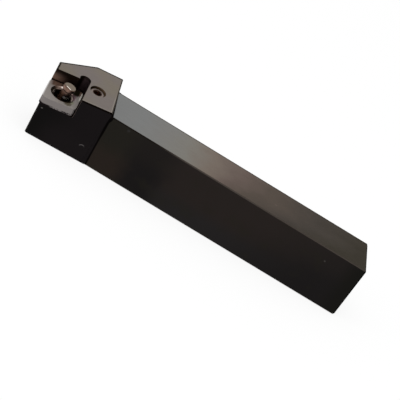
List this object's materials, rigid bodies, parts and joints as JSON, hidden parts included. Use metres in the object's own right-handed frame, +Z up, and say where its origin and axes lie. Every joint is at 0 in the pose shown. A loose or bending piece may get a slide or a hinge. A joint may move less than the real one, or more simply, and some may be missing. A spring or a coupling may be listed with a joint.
{
  "type": "turning tool holder",
  "caption": "Square-shank turning tool holder with a tilted rhombic insert pocket, carbide shim, lever lock and hexagon-socket clamp screw; shown without its insert.",
  "frame": {"origin": "bottom seating face of the shank, on its centre plane, at half of the 250 mm tool length", "axes": "+X along the shank from the head to the rear end, the cutting side faces -Y, +Z up; the cutting corner of an insert would lie at (-125, -30, 40) mm"},
  "size_m": [0.2481, 0.0481, 0.0494],
  "materials": {
    "oxide_steel": "black oxide, satin on the upper faces",
    "carbide": "ground",
    "spring_steel": "satin",
    "bronzed_steel": "polished, browned",
    "screw_steel": "satin"
  },
  "bodies": {
    "holder": {"holder_body": "oxide_steel", "shim": "carbide", "shim_pin": "spring_steel"},
    "screw": {"clamp_screw": "screw_steel"},
    "clamp": {"lever": "bronzed_steel"}
  },
  "joints": [
    {"name": "screw_travel", "type": "slide", "parent": "holder", "child": "screw", "axis": [-0.104, -0.104, 0.9891], "range_m": [0, 0.002]},
    {"name": "lever_tilt", "type": "hinge", "parent": "holder", "child": "clamp", "pos_m": [-0.10885, -0.0137, 0.01763], "axis": [0.3825, -0.9222, -0.0567], "range_deg": [0, 6.5]}
  ],
  "couplings": [
    {"joint": "lever_tilt", "follows": "screw_travel", "rad_per_m": 56.497}
  ]
}
